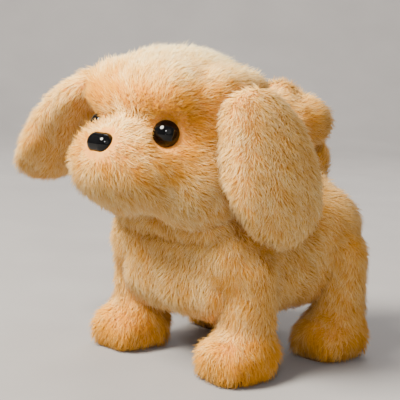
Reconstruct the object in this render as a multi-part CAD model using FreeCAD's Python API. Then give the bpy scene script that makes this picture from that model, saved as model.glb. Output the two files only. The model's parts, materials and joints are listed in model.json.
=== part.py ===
import FreeCAD, Part
import math
import os

from FreeCAD import Vector

# Walking plush puppy with floppy ears. Millimetres, +Z up.
# The origin is the middle of the footprint on the floor; the puppy faces -Y and its left is +X.

# ---- Legs and stance ----
LEG_X = 46.0            # paw centre, out from the middle plane
HIP_Y = 43.0            # hip axles, fore and aft of the middle
HIP_Z = 84.0
SWING_DEG = 12.0        # each way
LEVER = 20.0            # hip axle down to the coupling-bar pin
BAR_Z = HIP_Z - LEVER
PAW_SIZE = (23.0, 17.5)   # half-length fore and aft, radius
PAW_Z = 13.0
PAW_FORWARD = 4.0
COLUMN_R = 15.5
SOLE_TOP = 3.2
SOLE_HALF = (12.5, 16.0)
SOLE_CORNER_R = 11.5
PAW_FLOOR = 1.0         # underside of the plush, above the sole's face
COLUMN_TOP_Z = HIP_Z - 18.0
COVER_INNER_Z = 31.0    # above this, the cover stops at the flank's inner face
HUB_R = 9.0
HUB_BOSS_R = 5.0
HUB_BOSS_START = 24.8
PLATE_HALF = 7.0
FOOT_HALF = (11.0, 14.0)
FOOT_T = 2.8

# ---- Torso cover ----
TORSO_X = 55.0
TORSO_FRONT = -60.0
TORSO_REAR = 67.0
TORSO_BOTTOM = 38.0
TORSO_TOP = 114.0
TORSO_CORNER_R = 16.0
TORSO_TOP_R = 15.0
TORSO_BOTTOM_R = 9.0
BAY_X = 33.4            # half-width of the space for the mechanism
BAY_FRONT = -54.0
BAY_REAR = 61.5
BAY_BOTTOM = 41.5
BAY_TOP = 110.5
TAIL_BAY = ((61.0, 64.3), (57.0, 77.0))     # deeper room at the rear, for the tail's lever
HIP_DISC_R = 27.9       # top of each leg, a disc about its hip axle
SOFT_GAP = 0.5          # between covers that move on each other
COVER_SPLIT_Z = 84.0    # seam between the back and belly covers
SHOULDER_R = 34.0
SHOULDER_X = 44.0
SHOULDER_EDGE_R = 12.0
LEG_ROOM_START = 12.5   # the recess below each hip starts this far fore or aft
NECK_SLOT_HALF = (30.0, 11.5)   # crosswise, fore and aft
TRUNNION_ROOM_R = 13.0
DOOR_OPENING = ((-19.0, 19.0), (-46.0, 15.5))
SWITCH_OPENING_X = 8.0
SWITCH_OPENING_SPARE = 1.5
TAIL_OPENING_R = 5.0
BIG = 250.0             # reach of the blocks that cut a whole region away

# ---- Neck and head ----
NECK_Y = -32.0
NECK_Z = 102.0
NECK_LEAN_DEG = 30.0    # neck arms lean forward from upright
NECK_BARREL_R = 34.8    # head cover clears the shoulders on this radius
SKULL_C = (0.0, -58.0, 147.0)
SKULL_SIZE = (50.0, 41.0)     # half-width, radius about the crosswise axis
MUZZLE_C = (0.0, -90.0, 127.0)
MUZZLE_SIZE = (35.0, 29.0)
CHEEKS_C = (0.0, -64.0, 118.0)
CHEEKS_SIZE = (51.0, 27.0)
EAR_CORNER_C = (45.0, -58.0, 171.0)
EAR_CORNER_SIZE = (20.0, 9.5)    # half-length fore and aft, radius
SHELL_C = (0.0, -58.0, 146.0)
SHELL_SIZE = (42.0, 28.0)
SHELL_WALL = 2.0
YOKE_HUB_R = 7.0
YOKE_ARM_HALF = 5.0
YOKE_BEAM_Z = (38.0, 43.0)      # up the neck's axis
YOKE_POST_X = 16.0
YOKE_POST_R = 3.2
YOKE_LEVER_HALF = 2.8
YOKE_FORK_R = 5.2
YOKE_SLOT_HALF = 3.2
HEAD_SCREW_R = 1.4
EYE_C = (28.5, -94.5, 144.0)
EYE_R = 7.5
EYE_DOME = 5.0
EYE_TURN_DEG = 42.0
EYE_LIFT_DEG = 5.0
NOSE_C = (0.0, -116.0, 136.5)
NOSE_SIZE = (9.2, 6.2)
STEM_R = 1.6
WASHER_R = 6.0
WASHER_T = 1.4
WASHER_DEPTH = 7.4      # its back face, behind the button's seat
EYE_FLANGE_T = 1.2
STEM_LENGTH = 9.0

# ---- Ears ----
EAR_ROOT = (55.0, -58.0, 171.0)
EAR_LENGTH = 88.0
EAR_PAD_DROP = 9.0      # root bead down to the top of the pad
EAR_THICK = 13.0
EAR_EDGE_R = 5.5
EAR_WEB_T = 3.0
EAR_WEB_HALF = 13.0
EAR_WIDE_R = 28.0
EAR_NARROW_R = 19.0
EAR_BEAD_R = 3.4
EAR_BEAD_LENGTH = 30.0
EAR_BEAD_GAP = 0.4
LEFT_FLARE_DEG = 20.0
RIGHT_FLARE_DEG = 50.0

# ---- Tail ----
TAIL_SHAFT_Y = 55.5
TAIL_SHAFT_R = 2.5
TAIL_ARM = 29.5
TAIL_ARM_HALF = 1.7     # slim beside the chassis
TAIL_HEAD_X = (26.5, 33.0)      # wider end, round the slot
TAIL_HEAD_HALF = 3.1
TAIL_ARM_Z = (71.0, 74.0)
TAIL_HUB_R = 5.0
TAIL_SHAFT_BOTTOM = 60.5
TAIL_SLOT_X = (-0.5, 0.8)       # slot's end centres, from the pin's rest place
TAIL_CORE_R = 4.2
TAIL_CORE_TOP = 131.0
TAIL_BASE_C = (0.0, 52.0, 122.0)
TAIL_BASE_SIZE = (15.0, 13.0)   # half-length fore and aft, radius
CURL_C = (0.0, 46.0, 140.0)
CURL_RING_R = 15.0
CURL_TUBE_R = 11.0

# ---- Chassis ----
CHASSIS_X = 24.0
CHASSIS_Y = 50.0
CHASSIS_BOTTOM = 42.0
CHASSIS_TOP = 108.0
WALL = 2.0
AXLE_R = 3.0
AXLE_END = 44.0
RUN = 0.06              # radial clearance of running fits
TRUNNION_END = 28.8
TAIL_LUG_HALF_X = 7.0
TAIL_LUG_REACH = 10.5
TAIL_LUGS_Z = ((60.5, 66.5), (99.0, 105.0))
SPEAKER_C = (-18.0, 86.0)
SPEAKER_R = 14.0
SPEAKER_HOLES = 6
SPEAKER_HOLE_R = 1.2
SPEAKER_HOLE_RING_R = 7.0
SCREW_R = 1.2
SCREW_HEAD_R = 2.4
SCREW_POST_R = 2.4
CAP_R = 5.5
CAP_ROOM_R = 7.0        # room in the leg's cover round an axle's end
CAP_ROOM_END = 47.5
SCREW_PLACES = ((-46.0, 104.0), (46.0, 104.0), (-46.0, 66.0), (46.0, 66.0))

# ---- Gear train ----
MODULE = 0.5
PRESSURE_DEG = 25.0
ADDENDUM = 0.9          # in modules
DEDENDUM = 1.15
THINNING = 0.06         # off each tooth's thickness, for backlash
PINION_TEETH = 10
WHEEL_TEETH = 40
OUTPUT_TEETH = 54
GEAR_PIN_R = 1.0
CRANK_Y = 14.0
CRANK_Z = BAR_Z
CRANK_SHAFT_R = 2.0
CRANK_THROW = LEVER * math.sin(math.radians(SWING_DEG))
CRANK_PIN_R = 2.3
CRANK_DISC_R = 8.8
GEAR_B_DIRECTION_DEG = 65.0     # from the crank axis
GEAR_A_DIRECTION_DEG = 100.0    # from gear B
MOTOR_DIRECTION_DEG = 20.0      # from gear A
GEAR_PLATE_X = (5.0, 7.0)
MOTOR_PINION_X = (8.0, 13.0)
WHEEL_A_X = (9.0, 12.0)
PINION_A_X = (12.0, 16.6)
WHEEL_B_X = (12.8, 15.8)
PINION_B_X = (15.8, 21.2)
OUTPUT_X = (17.6, 20.6)
MOTOR_CAN_R = 10.0
MOTOR_CAN_X = (-20.0, 5.0)
MOTOR_SHAFT_R = 1.0
MOTOR_HOLE_R = 2.2
GEAR_PLATE_FRONT = 2.0
GEAR_PLATE_BOTTOM = 61.2

# ---- Side linkage, distances out from the middle plane ----
CRANK_DISC_X = (24.6, 27.4)
CRANK_PIN_END = 28.8
BAR_X = (29.2, 32.2)
NECK_CHEEK_X = (25.0, 28.0)
LEG_PLATE_X = (36.0, 42.0)
LEG_PIN_R = 2.5
LEG_PIN_END = 28.8
LINK_PIN_R = 2.0
TAIL_PIN_R = 1.6
BAR_HALF = 4.0
BAR_EYE_R = 5.5
CRANK_WINDOW_HALF = (6.5, 11.0)
CRANK_SLOT_CLEAR = 0.2
CRANK_SLOT_SPARE = 4.2
LINK_CLEAR = 0.12       # pins in the slots of the head's and the tail's levers

# ---- Battery bay and switch ----
CELL_R = 7.25
CELL_LENGTH = 50.5
CELL_X = 7.6
CELL_Z = 52.2
CELL_FRONT = -40.5
BAY_BOX_X = 16.5
BAY_BOX_Y = (-44.0, 13.5)
BAY_BOX_Z = (40.6, 61.0)
DOOR_Z = (38.6, 40.6)
DOOR_SCREW_R = 1.3
DOOR_SCREW_HEAD_R = 2.6
BOX_WALL = 1.2
CELL_STEP = 1.5         # length of the raised end of a cell
CELL_TIP_R = 2.7
CONTACT_Z = (46.0, 58.5)
SWITCH_HALF_X = 6.0
SWITCH_Y = (22.0, 36.0)
SWITCH_Z = (40.6, 50.0)
KNOB_START_Y = 25.0
KNOB_LENGTH = 4.0
SWITCH_TRAVEL = 4.0


def box(x, y, z):
    """Block between the pairs x, y and z."""
    corner = Vector(x[0], y[0], z[0])
    return Part.makeBox(x[1] - x[0], y[1] - y[0], z[1] - z[0], corner)


def rod_x(radius, x, y, z):
    """Round rod along X between the pair x, centred on y and z."""
    return Part.makeCylinder(radius, x[1] - x[0], Vector(x[0], y, z), Vector(1, 0, 0))


def rod_y(radius, y, x, z):
    return Part.makeCylinder(radius, y[1] - y[0], Vector(x, y[0], z), Vector(0, 1, 0))


def rod_z(radius, z, x, y):
    return Part.makeCylinder(radius, z[1] - z[0], Vector(x, y, z[0]), Vector(0, 0, 1))


def capsule(centre, size, axis=Vector(1, 0, 0)):
    """Round-ended bar; size is (half-length over the ends, radius)."""
    half_length, radius = size
    middle = Vector(*centre)
    up = Vector(0, 0, 1) * radius
    tail = middle - axis * half_length
    tip = middle + axis * half_length
    low = tail + axis * radius
    high = tip - axis * radius
    slant = math.sqrt(0.5)
    edges = [Part.Arc(tail, low + (up - axis * radius) * slant, low + up).toShape(),
             Part.LineSegment(low + up, high + up).toShape(),
             Part.Arc(high + up, high + (up + axis * radius) * slant, tip).toShape(),
             Part.LineSegment(tip, tail).toShape()]
    return Part.Face(Part.Wire(edges)).revolve(middle, axis, 360)


def joined(shapes):
    return shapes[0].multiFuse(shapes[1:]).removeSplitter()


def less(shape, tools):
    return shape.cut(tools)


def on_left(shape):
    """The shape itself: parts are drawn on the left side."""
    return shape


def on_right(shape):
    """Mirror image on the puppy's right side."""
    return shape.mirror(Vector(0, 0, 0), Vector(1, 0, 0))


SIDES = {"left": on_left, "right": on_right}


def edges_along(shape, direction):
    picked = []
    for edge in shape.Edges:
        ends = [vertex.Point for vertex in edge.Vertexes]
        if len(ends) == 2 and (ends[1] - ends[0]).normalize().cross(direction).Length < 1e-6:
            picked.append(edge)
    return picked


def edges_at_height(shape, z):
    return [edge for edge in shape.Edges
            if abs(edge.BoundBox.ZMin - z) < 1e-6 and abs(edge.BoundBox.ZMax - z) < 1e-6]


def slot_through(x, y, z, half_width, half_length):
    """Upright round-ended slot through the pair x, centred on y and z."""
    reach = half_length - half_width
    ends = [rod_x(half_width, x, y, z - reach), rod_x(half_width, x, y, z + reach)]
    middle = box(x, (y - half_width, y + half_width), (z - reach, z + reach))
    return joined(ends + [middle])


# ---------------------------------------------------------------- gears

def polar(radius, angle):
    return Vector(0, radius * math.cos(angle), radius * math.sin(angle))


def flank_angle(radius, teeth):
    """Half the tooth's angular thickness at a radius, for an involute tooth."""
    pressure = math.radians(PRESSURE_DEG)
    pitch_r = MODULE * teeth / 2
    base_r = pitch_r * math.cos(pressure)
    half_at_pitch = (math.pi * MODULE / 2 - THINNING) / 2 / pitch_r
    local = math.acos(min(1.0, base_r / max(radius, base_r)))
    involute = math.tan(local) - local
    involute_at_pitch = math.tan(pressure) - pressure
    return half_at_pitch + involute_at_pitch - involute


def gear(teeth, x, centre, phase):
    """Spur gear on an X axis through centre (y, z), with one tooth centred at the phase angle."""
    pitch_r = MODULE * teeth / 2
    tip_r = pitch_r + ADDENDUM * MODULE
    root_r = pitch_r - DEDENDUM * MODULE
    flank_start = max(root_r, pitch_r * math.cos(math.radians(PRESSURE_DEG)))
    flank_middle = (flank_start + tip_r) / 2
    step = 2 * math.pi / teeth
    edges = []
    for index in range(teeth):
        mid = index * step
        low, half, high = [flank_angle(r, teeth) for r in (flank_start, flank_middle, tip_r)]
        root_a = polar(root_r, mid - low)
        up = [polar(flank_start, mid - low), polar(flank_middle, mid - half), polar(tip_r, mid - high)]
        down = [polar(tip_r, mid + high), polar(flank_middle, mid + half), polar(flank_start, mid + low)]
        root_b = polar(root_r, mid + low)
        root_c = polar(root_r, mid + step - low)
        root_mid = polar(root_r, mid + step / 2)
        if flank_start > root_r:
            edges.append(Part.LineSegment(root_a, up[0]).toShape())
        edges.append(Part.Arc(*up).toShape())
        edges.append(Part.Arc(up[2], polar(tip_r, mid), down[0]).toShape())
        edges.append(Part.Arc(*down).toShape())
        if flank_start > root_r:
            edges.append(Part.LineSegment(down[2], root_b).toShape())
        edges.append(Part.Arc(root_b, root_mid, root_c).toShape())
    blank = Part.Face(Part.Wire(edges)).extrude(Vector(x[1] - x[0], 0, 0))
    blank.rotate(Vector(0, 0, 0), Vector(1, 0, 0), math.degrees(phase))
    blank.translate(Vector(x[0], centre[0], centre[1]))
    return blank


def step_from(centre, distance, direction_deg):
    angle = math.radians(direction_deg)
    return (centre[0] + distance * math.cos(angle), centre[1] + distance * math.sin(angle))


def facing(teeth, direction_deg):
    """Phase that turns a tooth space towards a direction."""
    return math.radians(direction_deg) + math.pi / teeth


CRANK_C = (CRANK_Y, CRANK_Z)
GEAR_B_C = step_from(CRANK_C, MODULE * (PINION_TEETH + OUTPUT_TEETH) / 2, GEAR_B_DIRECTION_DEG)
GEAR_A_C = step_from(GEAR_B_C, MODULE * (PINION_TEETH + WHEEL_TEETH) / 2, GEAR_A_DIRECTION_DEG)
MOTOR_C = step_from(GEAR_A_C, MODULE * (PINION_TEETH + WHEEL_TEETH) / 2, MOTOR_DIRECTION_DEG)


def compound(wheel_x, wheel_phase, pinion_x, pinion_phase, centre):
    wheel = gear(WHEEL_TEETH, wheel_x, centre, wheel_phase)
    pinion = gear(PINION_TEETH, pinion_x, centre, pinion_phase)
    both = joined([wheel, pinion])
    span = (min(wheel_x[0], pinion_x[0]) - 1, max(wheel_x[1], pinion_x[1]) + 1)
    return less(both, [rod_x(GEAR_PIN_R + RUN, span, *centre)])


def gear_parts():
    to_a = math.radians(MOTOR_DIRECTION_DEG + 180)
    to_b = math.radians(GEAR_A_DIRECTION_DEG + 180)
    to_crank = math.radians(GEAR_B_DIRECTION_DEG + 180)
    rotor = joined([
        gear(PINION_TEETH, MOTOR_PINION_X, MOTOR_C, to_a),
        rod_x(MOTOR_SHAFT_R, (MOTOR_CAN_X[1] - 18, MOTOR_PINION_X[0] + 1), *MOTOR_C),
        rod_x(MOTOR_CAN_R - 2, (MOTOR_CAN_X[0] + 4, MOTOR_CAN_X[1] - 5), *MOTOR_C)])
    gear_a = compound(WHEEL_A_X, facing(WHEEL_TEETH, MOTOR_DIRECTION_DEG),
                      PINION_A_X, to_b, GEAR_A_C)
    gear_b = compound(WHEEL_B_X, facing(WHEEL_TEETH, GEAR_A_DIRECTION_DEG),
                      PINION_B_X, to_crank, GEAR_B_C)
    output = gear(OUTPUT_TEETH, OUTPUT_X, CRANK_C, facing(OUTPUT_TEETH, GEAR_B_DIRECTION_DEG))
    output = less(output, [rod_x(CRANK_SHAFT_R, (OUTPUT_X[0] - 1, OUTPUT_X[1] + 1), *CRANK_C)])
    return {"motor_rotor": rotor, "gear_a": gear_a, "gear_b": gear_b, "output_gear": output}


def crank_parts():
    """Shaft with a crank disc on each end; the two pins are half a turn apart, both level at rest."""
    parts = {"crank_shaft": rod_x(CRANK_SHAFT_R, (-CRANK_DISC_X[1], CRANK_DISC_X[1]), *CRANK_C)}
    for side, height in (("left", CRANK_THROW), ("right", -CRANK_THROW)):
        disc = rod_x(CRANK_DISC_R, CRANK_DISC_X, *CRANK_C)
        hole = rod_x(CRANK_SHAFT_R, (CRANK_DISC_X[0] - 1, CRANK_DISC_X[1] + 1), *CRANK_C)
        pin = rod_x(CRANK_PIN_R, (CRANK_DISC_X[1] - 0.5, CRANK_PIN_END), CRANK_Y, CRANK_Z + height)
        parts["crank_" + side] = SIDES[side](joined([less(disc, [hole]), less(pin, [hole])]))
    return parts


# ---------------------------------------------------------------- covers

def torso_block():
    block = box((-TORSO_X, TORSO_X), (TORSO_FRONT, TORSO_REAR), (TORSO_BOTTOM, TORSO_TOP))
    block = block.makeFillet(TORSO_CORNER_R, edges_along(block, Vector(0, 0, 1)))
    block = block.makeFillet(TORSO_TOP_R, edges_at_height(block, TORSO_TOP))
    return block.makeFillet(TORSO_BOTTOM_R, edges_at_height(block, TORSO_BOTTOM))


def hip_recesses():
    """Room for the four leg tops and for their swing below the hips."""
    outer = (BAY_X - 0.4, TORSO_X + 1)      # starts inside the bay, so that the two meet
    tools = []
    for end in (-1, 1):
        disc = rod_x(HIP_DISC_R + SOFT_GAP, outer, end * HIP_Y, HIP_Z)
        fore_aft = sorted((end * LEG_ROOM_START, end * BIG))
        below = box(outer, fore_aft, (TORSO_BOTTOM - 1, HIP_Z))
        room = joined([disc, below])
        tools += [on_left(room), on_right(room)]
    return tools


def neck_opening():
    """Slot in the shoulders for the neck arms, over their whole nod."""
    half_x, half_y = NECK_SLOT_HALF
    opening = box((-half_x, half_x), (-half_y, half_y), (0.0, SHOULDER_R + 4))
    opening.rotate(Vector(0, 0, 0), Vector(1, 0, 0), NECK_LEAN_DEG)
    opening.translate(Vector(0, NECK_Y, NECK_Z))
    return opening


def torso_cover():
    shoulders = rod_x(SHOULDER_R, (-SHOULDER_X, SHOULDER_X), NECK_Y, NECK_Z)
    ends = [edge for edge in shoulders.Edges if abs(abs(edge.CenterOfMass.x) - SHOULDER_X) < 1e-3]
    shoulders = shoulders.makeFillet(SHOULDER_EDGE_R, ends)
    shoulders = shoulders.common(box((-BIG, BIG), (-BIG, BIG), (TORSO_TOP - 14, BIG)))
    cover = joined([torso_block(), shoulders])
    bay = box((-BAY_X, BAY_X), (BAY_FRONT, BAY_REAR), (BAY_BOTTOM, BAY_TOP))
    tail_bay = box((-BAY_X, BAY_X), *TAIL_BAY)
    trunnion_room = rod_x(TRUNNION_ROOM_R, (-BAY_X, BAY_X), NECK_Y, NECK_Z)
    floor = (TORSO_BOTTOM - 1, BAY_BOTTOM + 1)
    door = box(*DOOR_OPENING, floor)
    switch = box((-SWITCH_OPENING_X, SWITCH_OPENING_X),
                 (SWITCH_Y[0] - SWITCH_OPENING_SPARE, SWITCH_Y[1] + SWITCH_OPENING_SPARE), floor)
    tail = rod_z(TAIL_OPENING_R, (BAY_TOP - 1, TORSO_TOP + 1), 0, TAIL_SHAFT_Y)
    tools = [bay, tail_bay, trunnion_room, door, switch, tail, neck_opening()] + hip_recesses()
    return less(cover, tools)


def torso_covers():
    cover = torso_cover()
    upper = box((-BIG, BIG), (-BIG, BIG), (COVER_SPLIT_Z, BIG))
    lower = box((-BIG, BIG), (-BIG, BIG), (0.0, COVER_SPLIT_Z))
    return {"back_plush": cover.common(upper), "belly_plush": cover.common(lower)}


# ---------------------------------------------------------------- legs

def leg_frame(y):
    """Stiff core of a left leg: hip hub, plate, coupling pin and foot plate."""
    hub = rod_x(HUB_R, LEG_PLATE_X, y, HIP_Z)
    boss = rod_x(HUB_BOSS_R, (HUB_BOSS_START, LEG_PLATE_X[0]), y, HIP_Z)
    plate = box(LEG_PLATE_X, (y - PLATE_HALF, y + PLATE_HALF), (SOLE_TOP, HIP_Z))
    pin = rod_x(LEG_PIN_R, (LEG_PIN_END, LEG_PLATE_X[0] + 1), y, BAR_Z)
    foot_y = y - PAW_FORWARD
    foot = box((LEG_X - FOOT_HALF[0], LEG_X + FOOT_HALF[0]), (foot_y - FOOT_HALF[1], foot_y + FOOT_HALF[1]),
               (SOLE_TOP, SOLE_TOP + FOOT_T))
    frame = joined([hub, boss, plate, pin, foot])
    return less(frame, [rod_x(AXLE_R + RUN, (CHASSIS_X, AXLE_END + 1), y, HIP_Z)])


def leg_sole(y):
    half_width, half_length = SOLE_HALF
    pad = box((LEG_X - half_width, LEG_X + half_width),
              (y - PAW_FORWARD - half_length, y - PAW_FORWARD + half_length), (0.0, SOLE_TOP))
    return pad.makeFillet(SOLE_CORNER_R, edges_along(pad, Vector(0, 0, 1)))


def leg_cover(y, block):
    """Plush of a left leg: hip disc shaped like the flank, column and paw, hollow for the frame."""
    top = block.common(rod_x(HIP_DISC_R, (BAY_X + SOFT_GAP, TORSO_X + 2), y, HIP_Z))
    column = rod_z(COLUMN_R, (PAW_Z, COLUMN_TOP_Z), LEG_X, y)
    paw = capsule((LEG_X, y - PAW_FORWARD, PAW_Z), PAW_SIZE, Vector(0, 1, 0))
    cover = joined([top, column, paw])
    inner = box((0.0, BAY_X + SOFT_GAP), (y - BIG, y + BIG), (COVER_INNER_Z, BIG))
    under = box((0.0, BIG), (y - BIG, y + BIG), (-BIG, PAW_FLOOR))
    axle_end = rod_x(CAP_ROOM_R, (LEG_PLATE_X[1] - 1, CAP_ROOM_END), y, HIP_Z)
    return less(cover, [inner, under, axle_end, leg_sole(y), leg_frame(y), hip_fill(y)])


def hip_fill(y):
    """Room in the cover for the whole hub and its boss."""
    return rod_x(HUB_R, (CHASSIS_X, LEG_PLATE_X[1]), y, HIP_Z)


def leg_parts():
    block = torso_block()
    parts = {}
    for end, y in (("front", -HIP_Y), ("rear", HIP_Y)):
        for side, place in SIDES.items():
            name = end + "_" + side
            parts["leg_frame_" + name] = place(leg_frame(y))
            parts["leg_sole_" + name] = place(leg_sole(y))
            parts["leg_plush_" + name] = place(leg_cover(y, block))
    return parts


def coupling_bar(extra_reach):
    """Bar joining a front and a rear leg, with an upright slot for the crank pin."""
    web = box(BAR_X, (-HIP_Y, HIP_Y + extra_reach), (BAR_Z - BAR_HALF, BAR_Z + BAR_HALF))
    eyes = [rod_x(BAR_EYE_R, BAR_X, y, BAR_Z) for y in (-HIP_Y, HIP_Y)]
    half_y, half_z = CRANK_WINDOW_HALF
    window = box(BAR_X, (CRANK_Y - half_y, CRANK_Y + half_y), (CRANK_Z - half_z, CRANK_Z + half_z))
    bar = joined([web, window] + eyes)
    through = (BAR_X[0] - 1, BAR_X[1] + 1)
    holes = [rod_x(LEG_PIN_R + RUN, through, y, BAR_Z) for y in (-HIP_Y, HIP_Y)]
    holes.append(slot_through(through, CRANK_Y, CRANK_Z, CRANK_PIN_R + CRANK_SLOT_CLEAR,
                              CRANK_THROW + CRANK_SLOT_SPARE))
    return less(bar, holes)


def bar_parts():
    left = coupling_bar(0.0)
    neck_pin = rod_x(LINK_PIN_R, (NECK_CHEEK_X[0], BAR_X[0] + 1), NECK_Y, BAR_Z)
    left = joined([left, neck_pin])
    right = coupling_bar(TAIL_SHAFT_Y - HIP_Y + 3)
    pad = box((TAIL_ARM - 2.5, BAR_X[1]), (TAIL_SHAFT_Y - 3, TAIL_SHAFT_Y + 3),
              (BAR_Z - BAR_HALF, BAR_Z + BAR_HALF))
    tail_pin = rod_z(TAIL_PIN_R, (BAR_Z + 3, TAIL_ARM_Z[1] + 1.5), TAIL_ARM, TAIL_SHAFT_Y)
    right = joined([right, pad, tail_pin])
    return {"bar_left": left, "bar_right": on_right(right)}


# ---------------------------------------------------------------- head

def lean(shape):
    """Turns a shape drawn upright at the origin onto the neck axis and its lean."""
    shape.rotate(Vector(0, 0, 0), Vector(1, 0, 0), NECK_LEAN_DEG)
    shape.translate(Vector(0, NECK_Y, NECK_Z))
    return shape


def shell_room():
    """Hollow of the head shell."""
    half_width, radius = SHELL_SIZE
    return capsule(SHELL_C, (half_width - SHELL_WALL, radius - SHELL_WALL))


def neck_yoke():
    """Two cheeks on the trunnions, a cross beam with two posts, and the nod lever on the left."""
    pieces = []
    arm_y = (-YOKE_ARM_HALF, YOKE_ARM_HALF)
    for place in SIDES.values():
        hub = rod_x(YOKE_HUB_R, NECK_CHEEK_X, NECK_Y, NECK_Z)
        arm = lean(box(NECK_CHEEK_X, arm_y, (0, YOKE_BEAM_Z[1])))
        post = lean(rod_z(YOKE_POST_R, (YOKE_BEAM_Z[1] - 1, 90.0), YOKE_POST_X, 0.0)).common(shell_room())
        pieces += [place(hub), place(arm), place(post)]
    pieces.append(lean(box((-NECK_CHEEK_X[1], NECK_CHEEK_X[1]), arm_y, YOKE_BEAM_Z)))
    lever = box(NECK_CHEEK_X, (NECK_Y - YOKE_LEVER_HALF, NECK_Y + YOKE_LEVER_HALF), (BAR_Z, NECK_Z))
    fork = rod_x(YOKE_FORK_R, NECK_CHEEK_X, NECK_Y, BAR_Z)
    yoke = joined(pieces + [lever, fork])
    through = (NECK_CHEEK_X[0] - 1, NECK_CHEEK_X[1] + 1)
    slot = slot_through(through, NECK_Y, BAR_Z + 0.2, LINK_PIN_R + LINK_CLEAR, YOKE_SLOT_HALF)
    bores = [place(rod_x(AXLE_R + RUN, through, NECK_Y, NECK_Z)) for place in SIDES.values()]
    return less(yoke, [slot] + bores)


def head_shell():
    """Stiff hollow shell in two halves, open at the neck."""
    outer = capsule(SHELL_C, SHELL_SIZE)
    neck = rod_x(NECK_BARREL_R + 1.7, (-BIG, BIG), NECK_Y, NECK_Z)
    shell = less(outer, [shell_room(), neck])
    front = box((-BIG, BIG), (-BIG, SHELL_C[1]), (0.0, BIG))
    rear = box((-BIG, BIG), (SHELL_C[1], BIG), (0.0, BIG))
    return shell.common(front), shell.common(rear), outer


def button_placement(shape, centre, direction):
    """Turns a shape drawn along +Z at the origin to a direction, at a centre."""
    turn = FreeCAD.Rotation(Vector(0, 0, 1), Vector(*direction))
    shape.Placement = FreeCAD.Placement(Vector(*centre), turn)
    return shape


def eye_direction():
    turn = math.radians(EYE_TURN_DEG)
    lift = math.radians(EYE_LIFT_DEG)
    return (math.sin(turn) * math.cos(lift), -math.cos(turn) * math.cos(lift), math.sin(lift))


def eye():
    ball_r = (EYE_R ** 2 + EYE_DOME ** 2) / (2 * EYE_DOME)
    ball = Part.makeSphere(ball_r, Vector(0, 0, EYE_DOME - ball_r))
    dome = ball.common(box((-EYE_R, EYE_R), (-EYE_R, EYE_R), (0, EYE_R)))
    flange = rod_z(EYE_R, (-EYE_FLANGE_T, 0), 0, 0)
    stem = rod_z(STEM_R, (-STEM_LENGTH, -1.0), 0, 0)
    return button_placement(joined([dome, flange, stem]), EYE_C, eye_direction())


def washer():
    ring = rod_z(WASHER_R, (-WASHER_DEPTH, -WASHER_DEPTH + WASHER_T), 0, 0)
    return less(ring, [rod_z(STEM_R, (-STEM_LENGTH, 0), 0, 0)])


def eye_washer():
    return button_placement(washer(), EYE_C, eye_direction())


def nose():
    button = capsule(NOSE_C, NOSE_SIZE)
    front = button.common(box((-20, 20), (-140, NOSE_C[1] + 1.5), (100, 180)))
    stem = rod_y(STEM_R, (NOSE_C[1], NOSE_C[1] + STEM_LENGTH), 0, NOSE_C[2])
    return joined([front, stem])


def nose_washer():
    return button_placement(washer(), NOSE_C, (0, -1, 0))


def head_screws():
    """Two screws through the shell's crown into the yoke's posts."""
    screws = []
    for place in SIDES.values():
        crown = lean(rod_z(HEAD_SCREW_R, (66.0, 90.0), YOKE_POST_X, 0.0)).common(capsule(SHELL_C, SHELL_SIZE))
        top = crown.BoundBox.ZMax
        along = (top - NECK_Z) / math.cos(math.radians(NECK_LEAN_DEG))
        head = lean(rod_z(2 * HEAD_SCREW_R, (along - 0.6, along + 1.6), YOKE_POST_X, 0.0))
        screws.append(place(joined([crown, head])))
    return Part.Compound(screws)


def ear_socket():
    x, y, z = EAR_ROOT
    half = EAR_BEAD_LENGTH / 2 + EAR_BEAD_GAP
    return rod_y(EAR_BEAD_R + EAR_BEAD_GAP, (y - half, y + half), x, z)


def ear_outline(y, z):
    """Hanging drop: a small arc at the root and a wide one at the tip, joined by tangents."""
    top = Vector(0, y, z - EAR_PAD_DROP - EAR_NARROW_R)
    low = Vector(0, y, z - EAR_LENGTH + EAR_WIDE_R)
    lean_in = math.asin((EAR_WIDE_R - EAR_NARROW_R) / (top - low).Length)
    out = Vector(0, math.cos(lean_in), math.sin(lean_in))
    back = Vector(0, -out.y, out.z)
    up = Vector(0, 0, 1)
    corners = [top + back * EAR_NARROW_R, top + out * EAR_NARROW_R,
               low + out * EAR_WIDE_R, low + back * EAR_WIDE_R]
    edges = [Part.Arc(corners[0], top + up * EAR_NARROW_R, corners[1]).toShape(),
             Part.LineSegment(corners[1], corners[2]).toShape(),
             Part.Arc(corners[2], low - up * EAR_WIDE_R, corners[3]).toShape(),
             Part.LineSegment(corners[3], corners[0]).toShape()]
    return Part.Face(Part.Wire(edges))


def ear(flare_deg):
    """Left ear pad hanging from its root bead, flared out by an angle from upright."""
    x, y, z = EAR_ROOT
    half = EAR_BEAD_LENGTH / 2
    bead = rod_y(EAR_BEAD_R, (y - half, y + half), x, z)
    pad = ear_outline(y, z).extrude(Vector(EAR_THICK, 0, 0))
    pad.translate(Vector(x - EAR_THICK / 2, 0, 0))
    rims = [edge for edge in pad.Edges if edge.BoundBox.XLength < 1e-6]
    pad = pad.makeFillet(EAR_EDGE_R, rims)
    web = box((x - EAR_WEB_T / 2, x + EAR_WEB_T / 2), (y - EAR_WEB_HALF, y + EAR_WEB_HALF),
              (z - EAR_PAD_DROP - EAR_NARROW_R, z))
    soft = joined([pad, web])
    soft.rotate(Vector(x, y, z), Vector(0, 1, 0), -flare_deg)
    return joined([bead, soft])


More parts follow.
